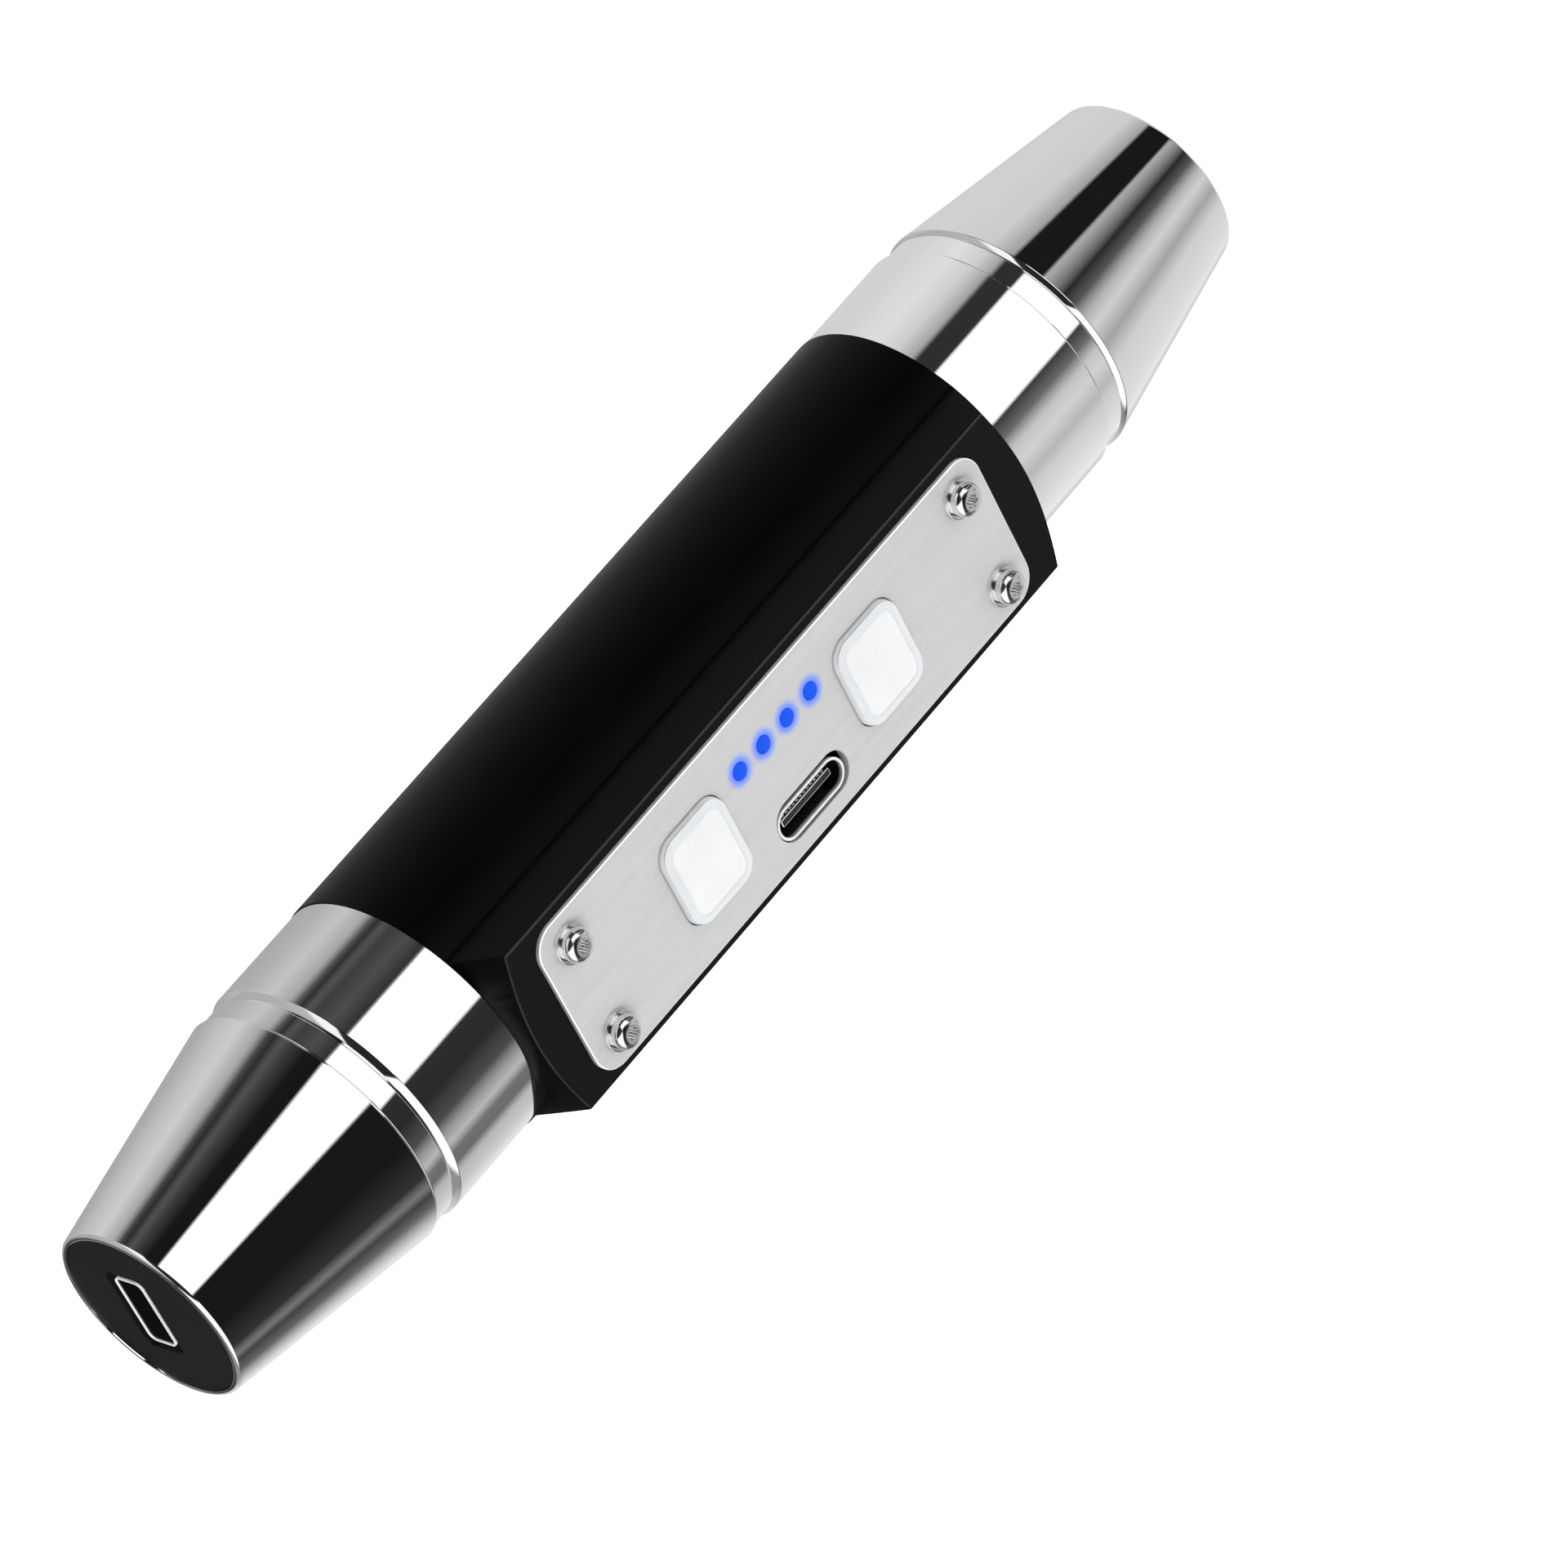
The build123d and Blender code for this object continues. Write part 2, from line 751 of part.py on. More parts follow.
with BuildPart() as top_domes:
    with Locations(across(top, top.emitter_front)):
        with Locations((0, -window_drop)):
            with GridLocations(pair_pitch, 0, 2, 1):
                Sphere(pair_dome_r)
    split(bisect_by=across(top, top.emitter_front), keep=Keep.BOTTOM)
finish(top_domes, "top_domes")

# ---- bottom end: glass, its seal, the three-cup reflector and a trio of emitters ----
with BuildPart() as front_glass:
    with BuildSketch(across(bottom, glass_recess)):
        Circle(seat_r - seat_gap)
    extrude(amount=glass_thickness)
finish(front_glass, "front_glass")

with BuildPart() as glass_seal:
    with BuildSketch(across(bottom, glass_recess + glass_thickness)):
        Circle(seat_r - seat_gap)
        Circle(seat_r - seat_gap - glass_seal_width, mode=Mode.SUBTRACT)
    extrude(amount=glass_seal_thickness)
finish(glass_seal, "glass_seal")

cup_mouth = bottom.seat_depth + lip_thickness + tray_gap
with BuildPart() as cup_reflector:
    with BuildSketch(across(bottom, cup_mouth)):
        Circle(module_r)
    extrude(amount=cup_depth)
    for number in range(cup_count):
        angle = cup_turn + number * 360 / cup_count
        direction = Vector(1, 0, 0).rotate(Axis.Z, angle)
        with BuildSketch(across(bottom, cup_mouth)):
            with Locations(direction * cup_mouth_offset):
                Circle(cup_mouth_r)
        with BuildSketch(across(bottom, cup_mouth + cup_depth)):
            with Locations(direction * trio_r):
                Circle(cup_throat_r)
        loft(mode=Mode.SUBTRACT)
finish(cup_reflector, "cup_reflector")

with BuildPart() as bottom_emitters:
    with BuildSketch(across(bottom, bottom.emitter_front)):
        with PolarLocations(trio_r, cup_count, start_angle=cup_turn, rotate=False):
            Rectangle(trio_emitter, trio_emitter)
    extrude(amount=emitter_height)
finish(bottom_emitters, "bottom_emitters")

with BuildPart() as bottom_domes:
    with Locations(across(bottom, bottom.emitter_front)):
        with PolarLocations(trio_r, cup_count, start_angle=cup_turn, rotate=False):
            Sphere(trio_dome_r)
    split(bisect_by=across(bottom, bottom.emitter_front), keep=Keep.BOTTOM)
finish(bottom_domes, "bottom_domes")

print("lamp", round(lamp_length, 2), "mm long, plate top at", round(plate_top, 2))
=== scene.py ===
# %% [markdown]
# # A double-ended UV curing lamp
# The lamp is a black anodised tube with a raised control plate, and a polished chrome head
# screwed on at each end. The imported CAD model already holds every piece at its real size, in
# metres, standing upright on the three-emitter head. It could all be modelled again here, but
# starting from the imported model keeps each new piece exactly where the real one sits.

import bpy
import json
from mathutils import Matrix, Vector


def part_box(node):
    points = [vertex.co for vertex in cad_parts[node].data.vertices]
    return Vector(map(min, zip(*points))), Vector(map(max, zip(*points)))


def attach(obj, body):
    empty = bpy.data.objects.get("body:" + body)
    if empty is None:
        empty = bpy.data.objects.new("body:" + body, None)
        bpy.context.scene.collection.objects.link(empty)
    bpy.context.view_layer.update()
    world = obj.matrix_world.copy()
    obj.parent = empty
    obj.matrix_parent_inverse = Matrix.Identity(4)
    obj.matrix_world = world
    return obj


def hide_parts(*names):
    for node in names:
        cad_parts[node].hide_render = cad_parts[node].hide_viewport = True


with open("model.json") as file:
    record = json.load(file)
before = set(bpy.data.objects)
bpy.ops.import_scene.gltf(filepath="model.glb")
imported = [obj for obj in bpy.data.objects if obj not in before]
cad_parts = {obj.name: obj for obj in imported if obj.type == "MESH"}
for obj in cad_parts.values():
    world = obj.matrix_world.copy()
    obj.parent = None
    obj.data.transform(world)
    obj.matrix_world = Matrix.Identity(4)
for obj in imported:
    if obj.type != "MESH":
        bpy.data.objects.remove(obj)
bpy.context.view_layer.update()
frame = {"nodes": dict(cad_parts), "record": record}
print("nodes:", len(frame["nodes"]))

# %% Shared tools and units
import json
from math import cos, pi, radians, sin

import bmesh
import bpy
from mathutils import Matrix, Vector

mm = 0.001
nodes = frame["nodes"]
lamp_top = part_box("top_head")[1].z
print("lamp length in mm:", round(lamp_top / mm, 1))

# %% [markdown]
# ## The camera
# A long lens a good way off keeps the lamp's sides nearly parallel, as in a catalogue picture.
# The lamp stands upright, so the camera is rolled about its own line of sight and the lamp
# lies across the picture from corner to corner. Tracking an empty would aim it too, but a
# rotation worked out from the angles has no hidden object behind it.

# %% Place the camera
view_azimuth, view_elevation, view_roll = radians(41.05), radians(26.07), radians(139.1)
view_distance = 0.735
aim = Vector((-0.0077, -0.0073, 0.0679))
outward = Vector((
    cos(view_elevation) * sin(view_azimuth),
    -cos(view_elevation) * cos(view_azimuth),
    sin(view_elevation),
))
bpy.ops.object.camera_add(location=aim + view_distance * outward)
camera = bpy.context.object
camera.name = "studio_camera"
upright = (-outward).to_track_quat("-Z", "Y").to_matrix().to_4x4()
camera.rotation_euler = (upright @ Matrix.Rotation(-view_roll, 4, "Z")).to_euler()
camera.data.lens = 199.2
camera.data.sensor_width = 36
camera.data.clip_start = 0.01
bpy.context.scene.camera = camera
bpy.context.scene.view_settings.view_transform = "Standard"
print("camera at", [round(value, 4) for value in camera.location])

# %% [markdown]
# ## The floor
# The lamp stands on a seamless white sweep. A plain plane is enough, because it has no
# visible edge. It gives off a little light of its own, so that it stays evenly white and the
# lamp's shadow all but disappears, as on a light table.

# %% Lay the floor
def deselect_all():
    """Nothing stays selected, so that the next operator acts on its own piece only."""
    bpy.ops.object.select_all(action="DESELECT")


deselect_all()
bpy.ops.mesh.primitive_plane_add(size=12, location=(0, 0, -0.00002))
floor = bpy.context.object
floor.name = "studio_floor"
floor.visible_glossy = False
white_sweep = bpy.data.materials.new("white_sweep")
white_sweep.use_nodes = True
sweep_shader = white_sweep.node_tree.nodes["Principled BSDF"]
sweep_shader.inputs["Base Color"].default_value = (0.8, 0.8, 0.79, 1)
sweep_shader.inputs["Roughness"].default_value = 0.9
sweep_shader.inputs["Specular IOR Level"].default_value = 0
sweep_shader.inputs["Emission Color"].default_value = (1.0, 1.0, 0.985, 1)
sweep_shader.inputs["Emission Strength"].default_value = 0.8
floor.data.materials.append(white_sweep)
print("floor is", floor.dimensions.x, "m wide")

# %% [markdown]
# ## What the chrome mirrors
# Polished chrome has hardly any colour of its own: its light and dark stripes are the studio
# around it. A studio hangs white and black cards round the object. Real card meshes would
# do it here too, but a world whose brightness depends on direction gives the same stripes
# with nothing standing in the way. Five ramps run round the horizon, for rays that go up, nearly
# level, a little down, further down and steeply down, because real cards lean too.

# %% Build the ring of studio cards
world = bpy.data.worlds.new("studio_cards")
bpy.context.scene.world = world
world.use_nodes = True
sky = world.node_tree
sky.nodes.clear()


def add_math(tree, operation, *values):
    """A Math node whose inputs are numbers or other nodes' outputs."""
    node = tree.nodes.new("ShaderNodeMath")
    node.operation = operation
    for socket, value in zip(node.inputs, values):
        if isinstance(value, (int, float)):
            socket.default_value = value
        else:
            tree.links.new(value, socket)
    return node.outputs[0]


def add_ramp(tree, factor, stops, turn=False):
    """A colour ramp. Stops are (position, value) or (position, colour)."""
    ramp = tree.nodes.new("ShaderNodeValToRGB")
    elements = ramp.color_ramp.elements
    while len(elements) < len(stops):
        elements.new(0.5)
    for element, (position, tone) in zip(elements, sorted(stops)):
        element.position = (position + 180) / 360 if turn else position
        element.color = (tone, tone, tone, 1) if isinstance(tone, (int, float)) else (*tone, 1)
    tree.links.new(factor, ramp.inputs[0])
    return ramp.outputs[0]


def add_range(tree, value, low, high, first=0, last=1, curve="LINEAR"):
    """Goes from the first number to the last while a value goes from low to high."""
    share = tree.nodes.new("ShaderNodeMapRange")
    share.interpolation_type = curve
    for socket, number in (("From Min", low), ("From Max", high), ("To Min", first), ("To Max", last)):
        share.inputs[socket].default_value = number
    tree.links.new(value, share.inputs["Value"])
    return share.outputs["Result"]


def add_mix(tree, share, first, second):
    """Mixes two colours by a share. Each is another node's output or a plain colour."""
    mix = tree.nodes.new("ShaderNodeMix")
    mix.data_type = "RGBA"
    tree.links.new(share, mix.inputs["Factor"])
    for socket, colour in (("A", first), ("B", second)):
        if isinstance(colour, tuple):
            mix.inputs[socket].default_value = (*colour, 1)
        else:
            tree.links.new(colour, mix.inputs[socket])
    return mix.outputs["Result"]


direction = sky.nodes.new("ShaderNodeTexCoord").outputs["Generated"]
split = sky.nodes.new("ShaderNodeSeparateXYZ")
sky.links.new(direction, split.inputs[0])
turn_angle = add_math(sky, "ARCTAN2", split.outputs["Y"], split.outputs["X"])
front_angle = view_azimuth - pi / 2
turned_by = add_math(sky, "SUBTRACT", turn_angle, front_angle)
wrapped = add_math(sky, "WRAP", turned_by, pi, -pi)
round_horizon = add_math(sky, "MULTIPLY_ADD", wrapped, 1 / (2 * pi), 0.5)

upper_cards = add_ramp(sky, round_horizon, [
    (-180, 0.60), (-160, 0.72), (-142, 0.45), (-125, 0.14), (-109, 0.06), (-101, 0.20),
    (-90, 0.035), (-60, 0.010), (-19, 0.010), (-17, 1.3), (24, 1.3), (26, 0.008), (40, 0.010),
    (52, 0.045), (60, 0.09), (67, 0.025), (73, 0.07), (81, 0.42), (100, 0.66), (125, 0.55),
    (150, 0.44), (180, 0.33),
], turn=True)
level_cards = add_ramp(sky, round_horizon, [
    (-180, 0.70), (-160, 0.82), (-140, 0.64), (-120, 0.52), (-110, 0.16), (-99, 0.18),
    (-90, 0.52), (-80, 0.33), (-70, 0.08), (-50, 0.025), (-29, 0.03), (-27, 1.3), (25, 1.3),
    (27, 0.03), (42, 0.08), (56, 0.05), (63, 0.09), (69, 0.03), (74, 0.09), (81, 0.43),
    (100, 0.60), (125, 0.48), (150, 0.43), (180, 0.42),
], turn=True)
lower_cards = add_ramp(sky, round_horizon, [
    (-180, 0.64), (-162, 0.66), (-150, 0.88), (-125, 0.78), (-103, 0.68), (-90, 0.52),
    (-73, 0.70), (-61, 0.60), (-49, 0.15), (-36, 0.04), (-34, 1.3), (23, 1.3), (25, 0.03),
    (42, 0.03), (46, 0.40), (60, 0.66), (80, 0.80), (120, 0.70), (165, 0.68), (180, 0.42),
], turn=True)
low_cards = add_ramp(sky, round_horizon, [
    (-180, 0.85), (-163, 0.65), (-150, 0.82), (-115, 0.74), (-92, 0.68), (-72, 0.40),
    (-52, 0.68), (-40, 0.50), (-26, 0.10), (-12, 0.02), (2, 0.28), (11, 0.45), (14, 0.01),
    (44, 0.01), (47, 0.38), (70, 0.66), (120, 0.70), (152, 0.67), (162, 0.40), (180, 0.36),
], turn=True)
high_cards = add_ramp(sky, round_horizon, [
    (-180, 0.05), (-168, 0.06), (-160, 0.30), (-125, 0.30), (-118, 1.2), (-30, 1.3), (-26, 0.02),
    (26, 0.02), (42, 0.03), (46, 1.0), (68, 1.0), (76, 0.50), (150, 0.42), (168, 0.08), (180, 0.05),
], turn=True)
print("card ramps:", 5)


# %% Blend the cards by height and light the room
rise = add_math(sky, "ARCSINE", split.outputs["Z"])


def add_blend(tree, value, start, stop, first, second):
    """Goes smoothly from one colour to another while a value goes from start to stop."""
    return add_mix(tree, add_range(tree, value, start, stop, curve="SMOOTHSTEP"), first, second)


low_to_lower = add_blend(sky, rise, radians(-38), radians(-32), low_cards, lower_cards)
to_level = add_blend(sky, rise, radians(-27), radians(-25), low_to_lower, level_cards)
to_upper = add_blend(sky, rise, radians(-19), radians(-12), to_level, upper_cards)
all_cards = add_blend(sky, rise, radians(11), radians(18), to_upper, high_cards)
backdrop = sky.nodes.new("ShaderNodeBackground")
backdrop.inputs["Color"].default_value = (1, 1, 0.99, 1)
backdrop.inputs["Strength"].default_value = 1.0
cards = sky.nodes.new("ShaderNodeBackground")
sky.links.new(all_cards, cards.inputs["Color"])
cards.inputs["Strength"].default_value = 1.0
seen = sky.nodes.new("ShaderNodeLightPath")
chosen = sky.nodes.new("ShaderNodeMixShader")
sky.links.new(seen.outputs["Is Camera Ray"], chosen.inputs["Fac"])
sky.links.new(cards.outputs[0], chosen.inputs[1])
sky.links.new(backdrop.outputs[0], chosen.inputs[2])
world_output = sky.nodes.new("ShaderNodeOutputWorld")
sky.links.new(chosen.outputs[0], world_output.inputs["Surface"])
print("world nodes:", len(sky.nodes))

# %% [markdown]
# ## Soft lights
# Two large soft lamps light the matt pieces: the white buttons, the plate and the body's
# grain. Small bright lamps would leave hard spots. They don't show in the chrome, which has
# its own cards.

# %% Hang two soft lights
def add_soft_light(name, place, size, power):
    """A square area lamp that faces the middle of the object."""
    bpy.ops.object.light_add(type="AREA", location=place)
    lamp = bpy.context.object
    lamp.name = name
    lamp.data.size = size
    lamp.data.energy = power
    lamp.rotation_euler = (aim - lamp.location).to_track_quat("-Z", "Y").to_euler()
    lamp.visible_glossy = False
    return lamp


key_light = add_soft_light("key_light", (-0.25, -0.9, 0.55), 0.7, 9)
fill_light = add_soft_light("fill_light", (0.9, 0.1, 0.6), 0.8, 4)
print("lights:", key_light.name, fill_light.name)

# %% [markdown]
# ## A base for every finish
# Each real surface varies a little: its tint drifts, its gloss is uneven and it has a fine
# relief. One helper builds all three from two noises on Object coordinates, a broad one and a
# fine one, so a pattern stays on its piece when the piece moves. An image texture would need
# a file and an unwrapped mesh. Numbers that are the same everywhere go straight on the
# shader's own sockets.

# %% The finish helper
def make_finish(name, tints, gloss, cloud, grain, relief, stretch=(1, 1, 1), sockets=None):
    """A material with two tints, two roughness values and a fine relief in metres."""
    material = bpy.data.materials.new(name)
    material.use_nodes = True
    tree = material.node_tree
    shader = tree.nodes["Principled BSDF"]
    for socket, value in (sockets or {}).items():
        shader.inputs[socket].default_value = value
    place = tree.nodes.new("ShaderNodeTexCoord")
    mapping = tree.nodes.new("ShaderNodeMapping")
    mapping.inputs["Scale"].default_value = stretch
    tree.links.new(place.outputs["Object"], mapping.inputs["Vector"])
    broad, fine = (tree.nodes.new("ShaderNodeTexNoise") for _ in range(2))
    for noise, scale in ((broad, cloud), (fine, grain)):
        noise.inputs["Scale"].default_value = scale
        noise.inputs["Detail"].default_value = 4
        tree.links.new(mapping.outputs[0], noise.inputs["Vector"])
    mixed = add_math(tree, "MULTIPLY_ADD", fine.outputs["Fac"], 0.4, 0)
    mixed = add_math(tree, "MULTIPLY_ADD", broad.outputs["Fac"], 0.6, mixed)
    tint = add_ramp(tree, mixed, [(0.35, tints[0]), (0.65, tints[1])])
    tree.links.new(tint, shader.inputs["Base Color"])
    tree.links.new(add_range(tree, mixed, 0.3, 0.7, *gloss), shader.inputs["Roughness"])
    bump = tree.nodes.new("ShaderNodeBump")
    bump.inputs["Strength"].default_value = 1
    bump.inputs["Distance"].default_value = relief
    tree.links.new(fine.outputs["Fac"], bump.inputs["Height"])
    tree.links.new(bump.outputs[0], shader.inputs["Normal"])
    return material


def object_axes(tree):
    """The X, Y and Z of the Object coordinates that a finish already uses."""
    axes = tree.nodes.new("ShaderNodeSeparateXYZ")
    tree.links.new(tree.nodes["Texture Coordinate"].outputs["Object"], axes.inputs[0])
    return axes.outputs


def tint_over(tree, share, colour):
    """Mixes a plain colour over a finish's own tint by a share."""
    base = tree.nodes["Principled BSDF"].inputs["Base Color"]
    tree.links.new(add_mix(tree, share, base.links[0].from_socket, colour), base)


finishes = {}
metal = {"Metallic": 1.0}
print("finish helper ready")

# %% [markdown]
# ## Metals
# Chrome plate is almost a perfect mirror with the faintest wipe marks. The anodised body is
# a black dye in aluminium oxide: satin, with a fine even grain. The control plate is brushed
# lengthwise, which is the same noise stretched along the lamp. Screws and washers are bright
# nickel-plated steel.

# %% Metal finishes
finishes["polished_chrome"] = make_finish(
    "polished_chrome", ((0.89, 0.89, 0.90), (0.92, 0.92, 0.93)), (0.025, 0.05),
    70, 900, 0.0000002, (1, 1, 0.25), metal)
finishes["black_anodised"] = make_finish(
    "black_anodised", ((0.0002, 0.0004, 0.0004), (0.0005, 0.0007, 0.0007)), (0.32, 0.38),
    120, 9000, 0.0000015, sockets={"Specular IOR Level": 0.06})
finishes["plate_aluminium"] = make_finish(
    "plate_aluminium", ((0.45, 0.45, 0.455), (0.495, 0.495, 0.50)), (0.38, 0.46),
    1400, 12000, 0.0000004, (1, 1, 0.04), {"Metallic": 0.3})
finishes["screw_steel"] = make_finish(
    "screw_steel", ((0.72, 0.72, 0.73), (0.86, 0.86, 0.87)), (0.10, 0.20),
    700, 5000, 0.000001, sockets=metal)
finishes["port_steel"] = make_finish(
    "port_steel", ((0.70, 0.70, 0.71), (0.85, 0.85, 0.86)), (0.18, 0.28),
    900, 6000, 0.0000008, sockets={"Metallic": 0.5})
finishes["contact_gold"] = make_finish(
    "contact_gold", ((0.90, 0.80, 0.62), (0.97, 0.90, 0.76)), (0.18, 0.30),
    1500, 9000, 0.0000006, sockets={"Metallic": 0.15})
finishes["cell_steel"] = make_finish(
    "cell_steel", ((0.55, 0.55, 0.57), (0.68, 0.68, 0.69)), (0.25, 0.38),
    150, 3000, 0.000002, sockets=metal)
finishes["spring_steel"] = make_finish(
    "spring_steel", ((0.60, 0.60, 0.60), (0.76, 0.75, 0.73)), (0.20, 0.34),
    600, 5000, 0.000001, sockets=metal)
finishes["heat_sink_aluminium"] = make_finish(
    "heat_sink_aluminium", ((0.66, 0.66, 0.67), (0.78, 0.78, 0.79)), (0.28, 0.45),
    300, 4000, 0.000002, (0.2, 0.2, 3), metal)
finishes["reflector_silver"] = make_finish(
    "reflector_silver", ((0.80, 0.80, 0.83), (0.90, 0.90, 0.93)), (0.06, 0.14),
    500, 7000, 0.000001, sockets=metal)
print("metal finishes:", len(finishes))

# %% [markdown]
# ## Plastics, rubber and boards
# These are dielectrics, so they keep the shader's plain gloss and differ in tint, roughness
# and grain. The white buttons are slightly translucent, so a little subsurface scattering
# keeps their edges from going grey.

# %% Plastic finishes
finishes["button_white"] = make_finish(
    "button_white", ((0.51, 0.51, 0.515), (0.55, 0.55, 0.555)), (0.30, 0.42),
    260, 7000, 0.0000012,
    sockets={"Subsurface Weight": 0.15, "Subsurface Scale": 0.0008})
finishes["switch_black"] = make_finish(
    "switch_black", ((0.012, 0.012, 0.013), (0.025, 0.025, 0.026)), (0.45, 0.60), 500, 8000, 0.000003)
finishes["board_green"] = make_finish(
    "board_green", ((0.010, 0.07, 0.025), (0.02, 0.11, 0.04)), (0.30, 0.45), 700, 6000, 0.000002)
finishes["board_white"] = make_finish(
    "board_white", ((0.66, 0.66, 0.64), (0.78, 0.78, 0.76)), (0.35, 0.50), 700, 6000, 0.000002)
finishes["port_plastic"] = make_finish(
    "port_plastic", ((0.008, 0.008, 0.009), (0.018, 0.018, 0.02)), (0.35, 0.50), 900, 9000, 0.000002)
finishes["cell_wrap"] = make_finish(
    "cell_wrap", ((0.02, 0.09, 0.22), (0.03, 0.12, 0.28)), (0.22, 0.36), 90, 2500, 0.000004)
finishes["seal_rubber"] = make_finish(
    "seal_rubber", ((0.008, 0.008, 0.008), (0.02, 0.02, 0.02)), (0.50, 0.68), 600, 7000, 0.000004)
finishes["disc_black"] = make_finish(
    "disc_black", ((0.002, 0.002, 0.003), (0.005, 0.005, 0.006)), (0.42, 0.55), 300, 9000, 0.000003,
    sockets={"Specular IOR Level": 0.24})
finishes["tray_black"] = make_finish(
    "tray_black", ((0.004, 0.004, 0.005), (0.010, 0.010, 0.012)), (0.45, 0.60), 500, 8000, 0.000002)
finishes["emitter_base"] = make_finish(
    "emitter_base", ((0.62, 0.58, 0.50), (0.78, 0.76, 0.70)), (0.35, 0.50), 900, 8000, 0.000002)
print("finishes so far:", len(finishes))

# %% [markdown]
# ## Glass and light
# Window glass only bends and mirrors light, so it is a fully transmitting shader with an
# index of refraction. The charge lights glow blue through a milky lens: brighter in
# the middle than at the rim. The emitter domes are clear silicone with a violet cast.

# %% Glass finishes
finishes["clear_glass"] = make_finish(
    "clear_glass", ((0.95, 0.97, 0.98), (1.0, 1.0, 1.0)), (0.0, 0.03), 90, 3000, 0.0000002,
    sockets={"Transmission Weight": 1.0, "IOR": 1.5})
finishes["uv_dome"] = make_finish(
    "uv_dome", ((0.70, 0.66, 0.95), (0.82, 0.80, 1.0)), (0.02, 0.06), 500, 5000, 0.0000004,
    sockets={"Transmission Weight": 1.0, "IOR": 1.42})
finishes["charge_light"] = make_finish(
    "charge_light", ((0.001, 0.01, 0.10), (0.002, 0.015, 0.14)), (0.45, 0.60), 900, 6000, 0.000001,
    sockets={"Emission Color": (0.004, 0.075, 0.70, 1), "Emission Strength": 1.0,
             "Specular IOR Level": 0.15})
print("all finishes:", len(finishes))

# %% [markdown]
# ## Dress the pieces that keep their CAD shape
# Many pieces are already exactly right: springs, boards, the cell, the screws. They keep
# their meshes and only take a finish. The record says which finish each node has, so
# one short loop does them all, and none is forgotten.

# %% Give each node its finish
slot_of = {entry["node"]: entry["material_slot"] for entry in frame["record"]["subparts"]}
for node_name, node in nodes.items():
    node.data.materials.clear()
    node.data.materials.append(finishes[slot_of[node_name]])
print("dressed nodes:", len(slot_of))

# %% [markdown]
# ## Turned chrome
# The heads and collars are lathe work: a profile spun round the lamp's axis. The Spin
# operator could make them from a drawn profile. Here a ring is extruded from station to
# station and scaled at each one, which is how a lathe tool moves along the work, and keeps
# every ring perfectly round. The loop closes on its first ring, so the shell has no open end.

# %% The lathe helper
def turn_piece(name, stations, segments=240):
    """A closed ring-shaped shell from (radius, height) stations, in metres."""
    deselect_all()
    radius, height = stations[0]
    bpy.ops.mesh.primitive_circle_add(
        vertices=segments, radius=radius, fill_type="NOTHING", location=(0, 0, height))
    piece = bpy.context.object
    piece.name = name
    bpy.ops.object.transform_apply()
    bpy.ops.object.mode_set(mode="EDIT")
    bpy.ops.mesh.select_all(action="SELECT")
    for next_radius, next_height in stations[1:] + stations[:1]:
        bpy.ops.mesh.extrude_region_move(
            TRANSFORM_OT_translate={"value": (0, 0, next_height - height)})
        factor = next_radius / radius
        bpy.ops.transform.resize(value=(factor, factor, 1), center_override=(0, 0, next_height))
        radius, height = next_radius, next_height
    bpy.ops.mesh.select_all(action="SELECT")
    bpy.ops.mesh.remove_doubles(threshold=0.000001)
    bpy.ops.mesh.normals_make_consistent(inside=False)
    bpy.ops.object.mode_set(mode="OBJECT")
    return piece


def soften(piece, width, steps=2, sharp=25):
    """Breaks the sharp edges and shades the piece smooth, with flats kept flat."""
    deselect_all()
    piece.select_set(True)
    bpy.context.view_layer.objects.active = piece
    edge = piece.modifiers.new("broken_edges", "BEVEL")
    edge.width = width
    edge.segments = steps
    edge.limit_method = "ANGLE"
    edge.angle_limit = radians(sharp)
    bpy.ops.object.modifier_apply(modifier=edge.name)
    bpy.ops.object.shade_smooth_by_angle(angle=radians(40))
    flats = piece.modifiers.new("true_flats", "WEIGHTED_NORMAL")
    flats.keep_sharp = True
    bpy.ops.object.modifier_apply(modifier=flats.name)
    return piece


def fit_piece(piece, body, slot, *stands_for):
    """Gives a new piece its finish, its body and the nodes it stands for."""
    piece.data.materials.clear()
    piece.data.materials.append(finishes[slot])
    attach(piece, body)
    if stands_for:
        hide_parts(*stands_for)
    return piece


print("lathe ready")

# %% [markdown]
# ## The two heads
# Each head tapers from its skirt to a rounded tip. Inside it has a seat for the disc or the
# glass, a lip, the light module's cavity and the thread's bore. The top head carries the
# slim band beside its parting line, with a fine groove at its foot, and the bottom head ends
# in a small bevel instead. The sizes are distances from the tip, so one list serves either
# end.

# %% Turn the heads
tip_r, cone_r, band_r, skirt_r = 9.2 * mm, 12.85 * mm, 12.6 * mm, 10.65 * mm
cone_end, band_end, bevel = 21.6 * mm, 24.0 * mm, 0.45 * mm
seat_r, lip_r, cavity_r, lip = 8.65 * mm, 7.4 * mm, 8.35 * mm, 0.7 * mm
tip_edge, groove = 0.4 * mm, 0.12 * mm


def head_stations(seat_depth, skirt, cavity_end):
    """The head's closed profile as (radius, distance from the tip)."""
    slope = (cone_r - tip_r) / cone_end
    corner = []
    for step in range(6):
        turn = radians(90 * step / 5)
        fall = tip_edge * (1 - cos(turn))
        corner.append((tip_r - tip_edge * (1 - sin(turn)) + fall * slope, fall))
    return [
        (seat_r, 0), *corner, *skirt, (skirt_r, skirt[-1][1]), (skirt_r, cavity_end),
        (cavity_r, cavity_end), (cavity_r, seat_depth + lip), (lip_r, seat_depth + lip),
        (lip_r, seat_depth), (seat_r, seat_depth),
    ]


